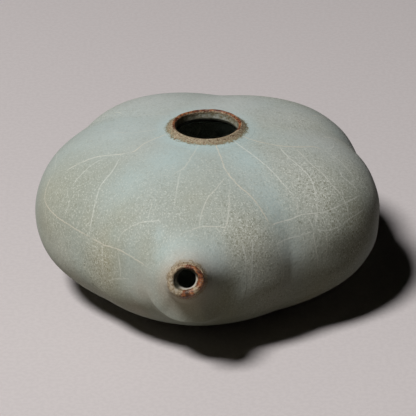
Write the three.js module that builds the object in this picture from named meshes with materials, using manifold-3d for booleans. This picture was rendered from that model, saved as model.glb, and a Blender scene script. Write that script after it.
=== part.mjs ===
// A five-lobed ceramic water dropper for a writing desk: a squat hollow body with a round filling
// mouth on top and a short conical spout low on the front. A fingertip over the mouth holds the
// water back, and lifting it lets single drops fall from the spout.
//
// It is modelled as the clay pieces that a potter lutes together with slip before glazing and
// firing. The 0.3 mm gap left between neighbours is that slip. Millimetres, +Z up, spout towards -Y.

import * as THREE from "three";
import { mergeVertices } from "three/addons/utils/BufferGeometryUtils.js";
import Module from "manifold-3d";

const wasm = await Module();
wasm.setup();

// Body form, a superellipse turned about the vertical axis
const BODY_RADIUS = 46; // mean radius at the widest line
const BELLY_HEIGHT = 22.4; // the widest line above the table
const CROWN_RISE = 24.8; // from the widest line up to the top of the form
const BASE_DROP = 23.1; // from the widest line down to the bottom of the form
const CROWN_POWER = 2.48; // above 2 is squarer in section than an ellipse
const BASE_POWER = 2.27;
const WALL = 3.2; // clay thickness
const SLIP = 0.3; // gap between luted pieces
const SEAM_HEIGHT = 18.5; // the two halves are luted a little below the widest line

// Lobes, as fractions of the radius. Each starts at its groove and ends at the next lobe's groove.
const LOBES = [
  { groove: -57.5, grooveRadius: 0.872, crownRadius: 1.007 },
  { groove: 15.5, grooveRadius: 0.975, crownRadius: 1.075 },
  { groove: 84, grooveRadius: 0.939, crownRadius: 1.066 },
  { groove: 150, grooveRadius: 0.967, crownRadius: 1.015 },
  { groove: 224, grooveRadius: 0.926, crownRadius: 0.959 },
];
const LOBE_POWER = 1.3; // 2 is an even wave, and less makes fuller lobes between narrower grooves
const CROWN_FADE = 0.45; // how the lobes fade from the widest line towards the mouth
const BASE_FADE = 0.5; // and towards the foot

// Filling mouth
const MOUTH_OFFSET = -0.3; // its middle lies a little to the left of the body's axis
const MOUTH_RADIUS = 8.4;
const CREST_HALF_WIDTH = 0.6; // the collar slopes up to a narrow rounded crest round the bore
const COLLAR_RADIUS = 10.8;
const COLLAR_TOP = 48.1;
const CROWN_LEAN = 0.038; // the crown and the mouth lean back, as a rise over a run
const LEAN_INNER = 12.5; // the whole lean within this radius
const LEAN_OUTER = 40; // and none beyond this one

const CROWN_EDGE = COLLAR_RADIUS + SLIP - MOUTH_OFFSET; // where the body's wall stops short of the collar

// Foot
const FOOT_OUTER = 23.6;
const FOOT_INNER = 20.1;
const FOOT_HEIGHT = 2.7;
const FOOT_RECESS = 1.5; // height of the underside inside the foot ring

// Spout
const SPOUT_ROOT = new THREE.Vector3(-5, -43.3, BELLY_HEIGHT + 3.3); // where its axis leaves the body
const SPOUT_AZIMUTH = -93; // degrees, -90 is straight to the front
const SPOUT_RISE = 28; // degrees above the horizontal
const SPOUT_LENGTH = 9.5; // from the body's surface to the crest of the lip
const SPOUT_BASE_RADIUS = 10.6;
const SPOUT_BASE_HEIGHT = -2; // the flare ends here, and a skirt runs on down to the body
const SPOUT_SKIRT_RADIUS = 11.3;
const SPOUT_SKIRT_HEIGHT = -13;
const SPOUT_NECK_RADIUS = 4.5;
const FLARE_POWER = 1.6; // above 1 is a hollow flare, 1 a straight cone
const BORE_RADIUS = 2.5;
const BORE_ROOT_RADIUS = 3.8;
const LIP_MOUTH_RADIUS = 3.1;
const LIP_RADIUS = 4.75;
const LIP_HEIGHT = 2.2;

// Fineness of the facets
const BODY_SEGMENTS = 60;
const RING_SEGMENTS = 40;
const PROFILE_STEPS = 8;

const glaze = { color: 0x9fa79b, roughness: 0.42, metalness: 0 };
const bareClay = { color: 0x7d4a2c, roughness: 0.75, metalness: 0 };

// The radius of the plain form at a height, for a skin set in by inset from the outer one.
function formRadius(z, inset = 0) {
  const above = z >= BELLY_HEIGHT;
  const reach = (above ? CROWN_RISE : BASE_DROP) - inset;
  const power = above ? CROWN_POWER : BASE_POWER;
  const share = Math.min(1, Math.abs(z - BELLY_HEIGHT) / reach);
  return (BODY_RADIUS - inset) * (1 - share ** power) ** (1 / power);
}

// The height of the plain form at a radius, on the crown or on the base.
function formHeight(radius, side, inset = 0) {
  const reach = (side > 0 ? CROWN_RISE : BASE_DROP) - inset;
  const power = side > 0 ? CROWN_POWER : BASE_POWER;
  const share = Math.min(1, radius / (BODY_RADIUS - inset));
  return BELLY_HEIGHT + side * reach * (1 - share ** power) ** (1 / power);
}

// The outline seen from above, as a fraction of the radius: each lobe swells between two grooves.
function lobeOutline(azimuth) {
  const degrees = THREE.MathUtils.radToDeg(azimuth);
  for (let i = 0; i < LOBES.length; i++) {
    const lobe = LOBES[i];
    const next = LOBES[(i + 1) % LOBES.length];
    const width = THREE.MathUtils.euclideanModulo(next.groove - lobe.groove, 360);
    const along = THREE.MathUtils.euclideanModulo(degrees - lobe.groove, 360) / width;
    if (along > 1) continue;
    const chord = THREE.MathUtils.lerp(lobe.grooveRadius, next.grooveRadius, THREE.MathUtils.smoothstep(along, 0, 1));
    const swell = lobe.crownRadius - (lobe.grooveRadius + next.grooveRadius) / 2;
    return chord + swell * Math.sin(Math.PI * along) ** LOBE_POWER;
  }
  return 1;
}

// How much of the lobes shows at a radius: none at the mouth and the foot, all at the widest line.
function lobeStrength(radius, z) {
  const inner = z >= BELLY_HEIGHT ? CROWN_EDGE : FOOT_OUTER + SLIP;
  const fade = z >= BELLY_HEIGHT ? CROWN_FADE : BASE_FADE;
  return THREE.MathUtils.clamp((radius - inner) / (BODY_RADIUS - inner), 0, 1) ** fade;
}

// Turns a closed profile of [radius, height] pairs about the vertical axis.
function turned(profile, segments) {
  const points = [...profile, profile[0]].map(([r, z]) => new THREE.Vector2(r, z));
  return new THREE.LatheGeometry(points, segments).rotateX(Math.PI / 2);
}

// Moves every point of a geometry.
function reshaped(geometry, move) {
  const position = geometry.getAttribute("position");
  for (let i = 0; i < position.count; i++) {
    position.setXYZ(i, ...move(position.getX(i), position.getY(i), position.getZ(i)));
  }
  return geometry;
}

// How far the lean lowers a point above the widest line.
function leanDrop(radius, y, z) {
  const share = 1 - THREE.MathUtils.smoothstep(radius, LEAN_INNER, LEAN_OUTER);
  return z > BELLY_HEIGHT ? CROWN_LEAN * y * share : 0;
}

// A turned shape pressed into lobes.
function lobed(profile) {
  return reshaped(turned(profile, BODY_SEGMENTS), (x, y, z) => {
    const radius = Math.hypot(x, y);
    const scale = 1 + lobeStrength(radius, z) * (lobeOutline(Math.atan2(y, x)) - 1);
    return [x * scale, y * scale, z - leanDrop(radius, y, z)];
  });
}

// Points along the form between two heights or radii, spaced evenly in angle round the section.
function formCurve(side, fromRadius, toRadius, inset, steps) {
  const angleAt = (radius) => Math.acos(Math.min(1, radius / (BODY_RADIUS - inset)));
  const [first, last] = [angleAt(fromRadius), angleAt(toRadius)];
  return Array.from({ length: steps + 1 }, (_, i) => {
    const radius = (BODY_RADIUS - inset) * Math.cos(THREE.MathUtils.lerp(first, last, i / steps));
    return [radius, formHeight(radius, side, inset)];
  });
}

function toSolid(geometry) {
  const bare = geometry.clone();
  bare.deleteAttribute("normal");
  bare.deleteAttribute("uv");
  const merged = mergeVertices(bare, 1e-4);
  return new wasm.Manifold(
    new wasm.Mesh({
      numProp: 3,
      vertProperties: merged.getAttribute("position").array,
      triVerts: new Uint32Array(merged.index.array),
    }),
  );
}

function toGeometry(solid) {
  const mesh = solid.getMesh();
  const geometry = new THREE.BufferGeometry();
  geometry.setAttribute("position", new THREE.BufferAttribute(mesh.vertProperties, 3));
  geometry.setIndex(new THREE.BufferAttribute(mesh.triVerts, 1));
  const flat = geometry.toNonIndexed();
  flat.computeVertexNormals();
  return flat;
}

// Places a shape turned about Z onto the spout's axis, with its height measured from the root.
function ontoSpout(geometry) {
  const azimuth = THREE.MathUtils.degToRad(SPOUT_AZIMUTH);
  const rise = THREE.MathUtils.degToRad(SPOUT_RISE);
  const axis = new THREE.Vector3(
    Math.cos(azimuth) * Math.cos(rise),
    Math.sin(azimuth) * Math.cos(rise),
    Math.sin(rise),
  );
  const turn = new THREE.Quaternion().setFromUnitVectors(new THREE.Vector3(0, 0, 1), axis);
  return geometry.applyQuaternion(turn).translate(...SPOUT_ROOT);
}

function named(name, geometry, finish) {
  const mesh = new THREE.Mesh(geometry, new THREE.MeshStandardMaterial(finish));
  mesh.name = name;
  return mesh;
}

// The whole form without its hollow, grown by a margin: what is luted on the outside is cut by it.
function wholeForm(margin) {
  const crown = formCurve(1, BODY_RADIUS + margin, 0, -margin, PROFILE_STEPS + 2);
  const base = formCurve(-1, 0, BODY_RADIUS + margin, -margin, PROFILE_STEPS + 2);
  return toSolid(lobed([...crown, ...base.slice(0, -1)]));
}

function upperWall() {
  const seam = SEAM_HEIGHT + SLIP / 2;
  const rim = CROWN_EDGE;
  const outer = [
    [formRadius(seam), seam],
    ...formCurve(1, BODY_RADIUS, rim, 0, PROFILE_STEPS),
  ];
  const inner = [
    ...formCurve(1, rim, BODY_RADIUS - WALL, WALL, PROFILE_STEPS),
    [formRadius(seam, WALL), seam],
  ];
  const hole = turned(
    [
      [0, -3 * WALL],
      [BORE_ROOT_RADIUS, -3 * WALL],
      [BORE_ROOT_RADIUS, 2 * WALL],
      [0, 2 * WALL],
    ],
    RING_SEGMENTS / 2,
  );
  const wall = toSolid(lobed([...outer, ...inner])).subtract(toSolid(ontoSpout(hole)));
  return named("upper_wall", toGeometry(wall), glaze);
}

function lowerWall() {
  const seam = SEAM_HEIGHT - SLIP / 2;
  const recess = FOOT_OUTER + SLIP;
  const ledge = FOOT_HEIGHT + SLIP;
  const inner = FOOT_INNER - SLIP;
  const profile = [
    [inner, ledge],
    [recess, ledge],
    ...formCurve(-1, recess, formRadius(seam), 0, PROFILE_STEPS - 2),
    ...formCurve(-1, formRadius(seam, WALL), inner, WALL, PROFILE_STEPS - 2),
  ];
  return named("lower_wall", lobed(profile), glaze);
}

// A soft coil pressed into the join on the inside, which the potter reaches through the mouth.
function seamCoil() {
  const halfHeight = 3;
  const thickness = 1.5;
  const back = (z) => formRadius(z, WALL + SLIP);
  const levels = [-1, -0.5, 0, 0.5, 1].map((share) => SEAM_HEIGHT + share * halfHeight);
  const wallSide = levels.map((z) => [back(z), z]);
  const hollowSide = [0.6, 0, -0.6].map((share) => {
    const z = SEAM_HEIGHT + share * halfHeight;
    return [back(z) - thickness * Math.cos(share), z];
  });
  return named("seam_coil", lobed([...wallSide, ...hollowSide]), bareClay);
}

function baseDisc() {
  const radius = FOOT_INNER - 2 * SLIP;
  const profile = [
    [0, FOOT_RECESS],
    [radius - 0.5, FOOT_RECESS],
    [radius, FOOT_RECESS + 0.5],
    [radius, FOOT_RECESS + WALL],
    [0, FOOT_RECESS + WALL],
  ];
  return named("base_disc", turned(profile, RING_SEGMENTS), glaze);
}

function footRing() {
  const bevel = 0.5;
  const profile = [
    [FOOT_INNER + bevel, 0],
    [FOOT_OUTER - bevel, 0],
    [FOOT_OUTER, bevel],
    [FOOT_OUTER, FOOT_HEIGHT],
    [FOOT_INNER, FOOT_HEIGHT],
    [FOOT_INNER, bevel],
  ];
  return named("foot_ring", turned(profile, RING_SEGMENTS), bareClay);
}

// The raised collar round the filling mouth: a sloped band up to a narrow crest.
function mouthCollar() {
  const bottom = formHeight(COLLAR_RADIUS, 1, WALL);
  const root = formHeight(COLLAR_RADIUS, 1);
  const half = CREST_HALF_WIDTH;
  const crest = [0, 45, 90, 135, 180].map((degrees) => {
    const angle = THREE.MathUtils.degToRad(degrees);
    return [MOUTH_RADIUS + half + half * Math.cos(angle), COLLAR_TOP - half + half * Math.sin(angle)];
  });
  const profile = [[MOUTH_RADIUS, bottom], [COLLAR_RADIUS, bottom], [COLLAR_RADIUS, root], ...crest];
  const collar = turned(profile, RING_SEGMENTS).translate(MOUTH_OFFSET, 0, 0);
  const leant = reshaped(collar, (x, y, z) => [x, y, z - leanDrop(0, y, z)]);
  return named("mouth_collar", leant, bareClay);
}

// The hollow cone of the spout, flared at its root, with a skirt cut to sit on the body.
function spoutCone() {
  const top = SPOUT_LENGTH - LIP_HEIGHT - SLIP;
  const flare = Array.from({ length: 7 }, (_, i) => {
    const share = i / 6;
    const swell = (1 - share) ** FLARE_POWER;
    const radius = THREE.MathUtils.lerp(SPOUT_NECK_RADIUS, SPOUT_BASE_RADIUS, swell);
    return [radius, THREE.MathUtils.lerp(SPOUT_BASE_HEIGHT, top, share)];
  });
  const profile = [
    [BORE_ROOT_RADIUS, SPOUT_SKIRT_HEIGHT],
    [SPOUT_SKIRT_RADIUS, SPOUT_SKIRT_HEIGHT],
    ...flare,
    [BORE_RADIUS, top],
  ];
  const cone = toSolid(ontoSpout(turned(profile, RING_SEGMENTS)));
  return named("spout_cone", toGeometry(cone.subtract(wholeForm(SLIP))), glaze);
}

// The rounded lip at the spout's end, where the glaze runs thin.
function spoutLip() {
  const foot = SPOUT_LENGTH - LIP_HEIGHT;
  const centre = (LIP_MOUTH_RADIUS + LIP_RADIUS) / 2;
  const half = (LIP_RADIUS - LIP_MOUTH_RADIUS) / 2;
  const crest = Array.from({ length: 7 }, (_, i) => {
    const angle = (Math.PI * i) / 6;
    return [centre + half * Math.cos(angle), SPOUT_LENGTH - half + half * Math.sin(angle)];
  });
  const profile = [[BORE_RADIUS, foot], [SPOUT_NECK_RADIUS, foot], ...crest];
  return named("spout_lip", ontoSpout(turned(profile, RING_SEGMENTS)), bareClay);
}

// The pieces stand about the body's own axis, then move together so that the origin is under the
// middle of the whole outline, spout included, at table height.
const pieces = new THREE.Group();
pieces.add(
  upperWall(),
  lowerWall(),
  seamCoil(),
  baseDisc(),
  footRing(),
  mouthCollar(),
  spoutCone(),
  spoutLip(),
);
const middle = new THREE.Box3().setFromObject(pieces, true).getCenter(new THREE.Vector3());
pieces.position.set(-middle.x, -middle.y, 0);

const dropper = new THREE.Group();
dropper.add(pieces);
export default dropper;
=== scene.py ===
# A five-lobed celadon water dropper standing on a plain pale floor.
#
# The outer skins of the body, collar and spout are all worked out from one form, so that they meet
# without a step and one run of glaze crosses them. Forms are reckoned in millimetres about the
# body's upright axis, and turned into metres of the frame when a mesh is made.

from math import cos, exp, pi, radians, sin, sqrt

import bpy
import numpy as np
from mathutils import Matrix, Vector


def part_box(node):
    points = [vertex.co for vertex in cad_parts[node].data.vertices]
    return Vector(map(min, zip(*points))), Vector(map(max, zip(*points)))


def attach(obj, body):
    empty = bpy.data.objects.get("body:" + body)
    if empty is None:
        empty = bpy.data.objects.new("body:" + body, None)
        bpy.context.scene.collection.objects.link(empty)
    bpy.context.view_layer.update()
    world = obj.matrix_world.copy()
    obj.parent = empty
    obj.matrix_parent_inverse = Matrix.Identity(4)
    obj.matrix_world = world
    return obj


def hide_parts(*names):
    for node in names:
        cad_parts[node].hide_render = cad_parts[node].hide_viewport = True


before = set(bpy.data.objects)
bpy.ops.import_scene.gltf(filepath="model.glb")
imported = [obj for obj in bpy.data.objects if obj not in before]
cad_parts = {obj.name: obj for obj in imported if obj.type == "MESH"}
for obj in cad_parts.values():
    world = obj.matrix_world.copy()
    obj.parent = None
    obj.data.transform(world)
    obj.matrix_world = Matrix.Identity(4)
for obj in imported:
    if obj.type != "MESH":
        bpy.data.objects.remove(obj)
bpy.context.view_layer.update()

MM = 0.001
foot_low, foot_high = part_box("foot_ring")
AXIS = np.array([(foot_low.x + foot_high.x) / 2, (foot_low.y + foot_high.y) / 2, 0.0]) / MM

# Body form, the same as the clay solids
BODY_RADIUS = 46.0
BELLY_HEIGHT = 22.4
CROWN_RISE = 24.8
BASE_DROP = 23.1
CROWN_POWER = 2.48
BASE_POWER = 2.27
WALL = 3.2
SEAM_HEIGHT = 18.5
LOBES = [  # groove azimuth in degrees, radius share at the groove, radius share at the crown
    (-57.5, 0.872, 1.007),
    (15.5, 0.975, 1.075),
    (84, 0.939, 1.066),
    (150, 0.967, 1.015),
    (224, 0.926, 0.959),
]
LOBE_POWER = 1.3  # 2 is an even wave, and less makes fuller lobes between narrower grooves
CROWN_FADE = 0.45
BASE_FADE = 0.5
UNEVENNESS = 0.07  # how far the hand-pressed wall strays from the true form
RISING_WOBBLE = 0.4  # how much of a rim's wobble shows in its height too

# Filling mouth
MOUTH_OFFSET = -0.3
MOUTH_RADIUS = 8.4
CREST_HALF = 0.6
COLLAR_RADIUS = 10.8
COLLAR_TOP = 48.3
COLLAR_FILLET = 0.5
APRON_RADIUS = 12.9  # the collar's piece takes in a little of the crown's glaze
CROWN_LEAN = 0.038
LEAN_INNER = 12.5
LEAN_OUTER = 40.0
CROWN_EDGE = COLLAR_RADIUS + 0.3 - MOUTH_OFFSET

# Foot
FOOT_OUTER = 23.6
FOOT_INNER = 20.1
FOOT_HEIGHT = 2.7
FOOT_RECESS = 1.5

# Spout
SPOUT_ROOT = np.array([-5.0, -43.3, BELLY_HEIGHT + 3.3])
SPOUT_AZIMUTH = radians(-93)
SPOUT_RISE = radians(28)
SPOUT_LENGTH = 9.5
CONE_RADIUS = 10.6
CONE_FOOT = -2.0
SKIRT_RADIUS = 11.3
SKIRT_FOOT = -13.0
NECK_RADIUS = 4.4
FLARE_POWER = 1.6
SPOUT_REACH = 15.0  # how far the spout's swelling runs into the body above and beside it
SWELL_POWER = 2.5  # how hollow its sides are there
BORE_RADIUS = 2.35
BORE_ROOT_RADIUS = 3.8
LIP_MOUTH_RADIUS = 3.0
LIP_RADIUS = 4.55
LIP_SHIFT = np.array([-0.2, -0.55])  # the lip is thicker below the bore
LIP_FLATNESS = 0.09
LIP_APRON = 6.2  # the lip's piece takes in a little of the cone's glaze
LIP_FILLET = 0.6
LIP_HEIGHT = 2.2
NECK_HEIGHT = SPOUT_LENGTH - LIP_HEIGHT
SPOUT_BEND = 0.32  # how far the end of the spout bends up

# Camera, as the photograph was taken
CAMERA_ELEVATION = radians(28.5)
CAMERA_DISTANCE = 608.7
CAMERA_LENS = 193.2
AIM_HEIGHT = 22.75
AIM_SIDE = 0.04

# Light
LAMP_WAY = Vector((-0.415, -0.335, 0.92)).normalized()  # towards the lamp
LAMP_DISTANCE = 1.4
LAMP_SIZE = 0.32
LAMP_POWER = 18.0
WORLD_COLOUR = (1.0, 0.97, 0.84, 1.0)
WORLD_STRENGTH = 0.002

# Fineness of the skins
AROUND = 420  # points round the body and the collar
SMALL_AROUND = 240  # round the cone, the foot, the base and the coil
LIP_AROUND = 200
PORT_AROUND = 48
SKIN_STEP = 0.6
CLOSE_STEPS = np.array([0.05, 0.15, 0.35])  # beside a join
PROUD = 0.03  # how far the collar's and the spout's skins lie above the wall that they cover
PLACE_ROUNDS = 6  # how often a place on the plain form is worked out again from the last try
CROWN_ROUNDS = 8
NUDGE = 0.05  # the step along the section that gives its slope
STEEP_SHARE = 0.85  # outside this share of the radius, a place on the skin is told by its height
SPOUT_SEARCH = (-18.0, 12.0)  # along the spout's axis, where the body's skin is looked for
HALVINGS = 22
SHARP_ANGLE = radians(50)


def linear(red, green, blue):
    """A colour of 0 to 255 as the eye reads it, as the linear light that a shader takes."""
    shares = [c / 255 for c in (red, green, blue)]
    return tuple(c / 12.92 if c <= 0.04045 else ((c + 0.055) / 1.055) ** 2.4 for c in shares) + (1.0,)


def ease(value, low, high):
    """0 below low, 1 above high, and an even curve between."""
    share = np.clip((value - low) / (high - low), 0, 1)
    return share**2 * (3 - 2 * share)


# The form

def ring_at(radius, angles, z):
    """Points by their distance from the upright axis, their azimuth and their height."""
    radius, angles, z = np.broadcast_arrays(radius, angles, z)
    return np.stack([radius * np.cos(angles), radius * np.sin(angles), z], -1)


def form_radius(z):
    """The radius of the plain form at a height."""
    above = z >= BELLY_HEIGHT
    reach = np.where(above, CROWN_RISE, BASE_DROP)
    power = np.where(above, CROWN_POWER, BASE_POWER)
    share = np.clip(np.abs(z - BELLY_HEIGHT) / reach, 0, 1)
    return BODY_RADIUS * (1 - share**power) ** (1 / power)


def form_height(radius, side):
    """The height of the plain form at a radius, on its crown (side 1) or its base (side -1)."""
    reach = CROWN_RISE if side > 0 else BASE_DROP
    power = CROWN_POWER if side > 0 else BASE_POWER
    share = np.clip(radius / BODY_RADIUS, 0, 1)
    return BELLY_HEIGHT + side * reach * (1 - share**power) ** (1 / power)


def lobe_outline(azimuth):
    """The outline seen from above, as a share of the radius: each lobe swells between two grooves."""
    degrees = np.degrees(azimuth)
    outline = np.ones_like(degrees)
    for (groove, inner, crown), (next_groove, next_inner, _) in zip(LOBES, LOBES[1:] + LOBES[:1]):
        width = (next_groove - groove) % 360
        along = ((degrees - groove) % 360) / width
        chord = inner + (next_inner - inner) * along**2 * (3 - 2 * along)
        swell = crown - (inner + next_inner) / 2
        fullness = np.sin(pi * np.clip(along, 0, 1)) ** LOBE_POWER
        outline = np.where(along <= 1, chord + swell * fullness, outline)
    return outline


def lobed_scale(azimuth, radius, z):
    """What the lobes and the unevenness of the wall make of the plain radius, as a share of it."""
    above = z >= BELLY_HEIGHT
    inner = np.where(above, CROWN_EDGE, FOOT_OUTER + 0.3)
    fade = np.where(above, CROWN_FADE, BASE_FADE)
    reach = np.clip((radius - inner) / (BODY_RADIUS - inner), 0, 1)
    waves = (
        np.sin(5 * azimuth + 0.21 * z + 1.0)
        + np.sin(9 * azimuth - 0.34 * z)
        + np.sin(14 * azimuth + 0.5 * z + 2.0)
    )
    return 1 + reach**fade * (lobe_outline(azimuth) - 1) + reach * waves * UNEVENNESS / BODY_RADIUS


def lean_drop(radius, y, z):
    """How far the backward lean of the crown lowers a point of the plain form."""
    share = 1 - ease(radius, LEAN_INNER, LEAN_OUTER)
    return np.where(z > BELLY_HEIGHT, CROWN_LEAN * y * share, 0.0)


def section_table(steps=1500):
    """The plain section from the top of the axis to the bottom: radius, height, way along it."""
    quarter = np.linspace(0, pi / 2, steps)
    crown = BODY_RADIUS * np.sin(quarter)
    base = BODY_RADIUS * np.cos(quarter)[1:]
    radius = np.concatenate([crown, base])
    height = np.concatenate([form_height(crown, 1), form_height(base, -1)])
    way = np.concatenate([[0], np.cumsum(np.hypot(np.diff(radius), np.diff(height)))])
    return radius, height, way


SECTION_RADIUS, SECTION_HEIGHT, SECTION_WAY = section_table()


def way_at_height(z):
    """How far along the section a height lies, measured from the top of the axis."""
    return np.interp(-z, -SECTION_HEIGHT, SECTION_WAY)


def way_at_radius(radius, side):
    return way_at_height(form_height(np.asarray(radius, float), side))


def skin(azimuth, way, inset=0.0):
    """Points of the body's skin, or of a skin set in from it."""
    azimuth, way = np.broadcast_arrays(azimuth, way)
    radius = np.interp(way, SECTION_WAY, SECTION_RADIUS)
    z = np.interp(way, SECTION_WAY, SECTION_HEIGHT)
    ahead_r, ahead_z = (
        np.interp(way + NUDGE, SECTION_WAY, along) - np.interp(way - NUDGE, SECTION_WAY, along)
        for along in (SECTION_RADIUS, SECTION_HEIGHT)
    )
    length = np.hypot(ahead_r, ahead_z)
    plain = radius + inset * ahead_z / length
    around = plain * lobed_scale(azimuth, radius, z)
    height = z - inset * ahead_r / length - lean_drop(radius, plain * np.sin(azimuth), z)
    return ring_at(around, azimuth, height)


def plain_place(points):
    """Azimuth, radius and height of points near the skin, with lobes and lean taken off."""
    azimuth = np.arctan2(points[..., 1], points[..., 0])
    actual = np.hypot(points[..., 0], points[..., 1])
    radius, z = actual, points[..., 2]
    for _ in range(PLACE_ROUNDS):
        radius = actual / lobed_scale(azimuth, radius, z)
        z = points[..., 2] + lean_drop(radius, radius * np.sin(azimuth), z)
    return azimuth, radius, z


def outside(points):
    """Above zero where a point lies outside the body's skin."""
    _, radius, z = plain_place(points)
    return radius - form_radius(z)


def crown_height(x, y):
    """The height of the crown's skin over a place near the filling mouth."""
    azimuth, actual = np.arctan2(y, x), np.hypot(x, y)
    radius = actual
    for _ in range(CROWN_ROUNDS):
        radius = actual / lobed_scale(azimuth, radius, form_height(radius, 1))
    z = form_height(radius, 1)
    return z - lean_drop(radius, radius * np.sin(azimuth), z)


def glaze_map(points):
    """The skin laid flat round the filling mouth, so that a pattern keeps its size on it."""
    azimuth, radius, z = plain_place(points)
    side = np.where(z > BELLY_HEIGHT, 1, -1)
    by_radius = np.where(side > 0, way_at_radius(radius, 1), way_at_radius(radius, -1))
    way = np.where(radius > STEEP_SHARE * BODY_RADIUS, way_at_height(z), by_radius)
    reach = way * lobed_scale(azimuth, radius, z)
    return ring_at(reach, azimuth, 0.0)


def smooth_higher(a, b, blend):
    """The higher of two heights, with a fillet where they cross."""
    overlap = np.maximum(blend - np.abs(a - b), 0) / blend
    return np.maximum(a, b) + overlap**2 * blend / 4


def spout_axes():
    """The way that the spout points, the way to its right and the way up across it."""
    axis = np.array([
        cos(SPOUT_AZIMUTH) * cos(SPOUT_RISE),
        sin(SPOUT_AZIMUTH) * cos(SPOUT_RISE),
        sin(SPOUT_RISE),
    ])
    side = np.array([-sin(SPOUT_AZIMUTH), cos(SPOUT_AZIMUTH), 0.0])
    return axis, side, np.cross(axis, side)


SPOUT_AXIS, SPOUT_SIDE, SPOUT_UP = spout_axes()


def on_spout(radius, turn, height):
    """A point by its distance from the spout's axis, its turn about it and its height along it."""
    radius, turn, height = np.broadcast_arrays(radius, turn, height)
    across = (radius * np.cos(turn))[..., None] * SPOUT_SIDE + (radius * np.sin(turn))[..., None] * SPOUT_UP
    return SPOUT_ROOT + across + height[..., None] * SPOUT_AXIS


def bent_up(points, height):
    """Points of the spout, moved up with the slight bend towards its end."""
    share = ease(np.broadcast_to(height, points.shape[:-1]), 1.0, NECK_HEIGHT)
    return points + SPOUT_BEND * share[..., None] * SPOUT_UP


def seen_from_spout(points):
    """How far points lie from the spout's axis, their turn about it and their height along it."""
    offset = points - SPOUT_ROOT
    across, up = offset @ SPOUT_SIDE, offset @ SPOUT_UP
    return np.hypot(across, up), np.arctan2(up, across), offset @ SPOUT_AXIS


def body_height_on_spout(radius, turn):
    """How high along the spout's axis the body's skin lies, found by halving."""
    radius, turn = np.broadcast_arrays(radius, turn)
    low, high = (np.full(radius.shape, end) for end in SPOUT_SEARCH)
    for _ in range(HALVINGS):
        middle = (low + high) / 2
        out = outside(on_spout(radius, turn, middle)) > 0
        high = np.where(out, middle, high)
        low = np.where(out, low, middle)
    return (low + high) / 2


# Meshes

def flattened(rows, closed_loop):
    """Rows of values as one list. Without a closed loop, a middle value for each end comes last."""
    flat = rows.reshape(-1, rows.shape[-1])
    return flat if closed_loop else np.concatenate([flat, [rows[0].mean(0)], [rows[-1].mean(0)]])


def ring_solid(name, rings, closed_loop=True, layers=None):
    """A closed solid from rings of points. They close on themselves, or on a middle point at each end.

    Layers are numbers or vectors for its points, which its material reads.
    """
    rings = np.asarray(rings, float)
    count, around, _ = rings.shape
    index = np.arange(count * around).reshape(count, around)
    follow = np.roll(index, -1, axis=1)
    last = count if closed_loop else count - 1
    below = np.roll(index, -1, axis=0)
    follow_below = np.roll(below, -1, axis=1)
    quads = np.stack([index[:last], below[:last], follow_below[:last], follow[:last]], -1).reshape(-1, 4)
    faces = quads.tolist()
    if not closed_loop:
        top, bottom = count * around, count * around + 1
        faces += [[top, a, b] for a, b in zip(index[0].tolist(), follow[0].tolist())]
        faces += [[bottom, b, a] for a, b in zip(index[-1].tolist(), follow[-1].tolist())]
    mesh = bpy.data.meshes.new(name)
    mesh.from_pydata(((flattened(rings, closed_loop) + AXIS) * MM).tolist(), [], faces)
    for layer, values in (layers or {}).items():
        values = flattened(np.asarray(values, np.float32).reshape(count, around, -1), closed_loop)
        kind, field = ("FLOAT_VECTOR", "vector") if values.shape[-1] == 3 else ("FLOAT", "value")
        mesh.attributes.new(layer, kind, "POINT").data.foreach_set(field, values.reshape(-1))
    mesh.shade_smooth()
    mesh.set_sharp_from_angle(angle=SHARP_ANGLE)
    mesh.validate()
    piece = bpy.data.objects.new(name, mesh)
    bpy.context.scene.collection.objects.link(piece)
    return piece


def settle(piece, node, material):
    """Gives a finished piece its finish and its body, and hides the clay solid that it stands for."""
    piece.data.materials.append(material)
    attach(piece, "root")
    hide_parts(node)


# Crackle in the glaze. Each line is a smooth curve through places on the skin, given as azimuth in
# degrees and way along the skin in millimetres. Its boldness comes first, then how much tea-brown
# has soaked into it. Lines on the side away from the photograph are made up in the same manner.

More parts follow.
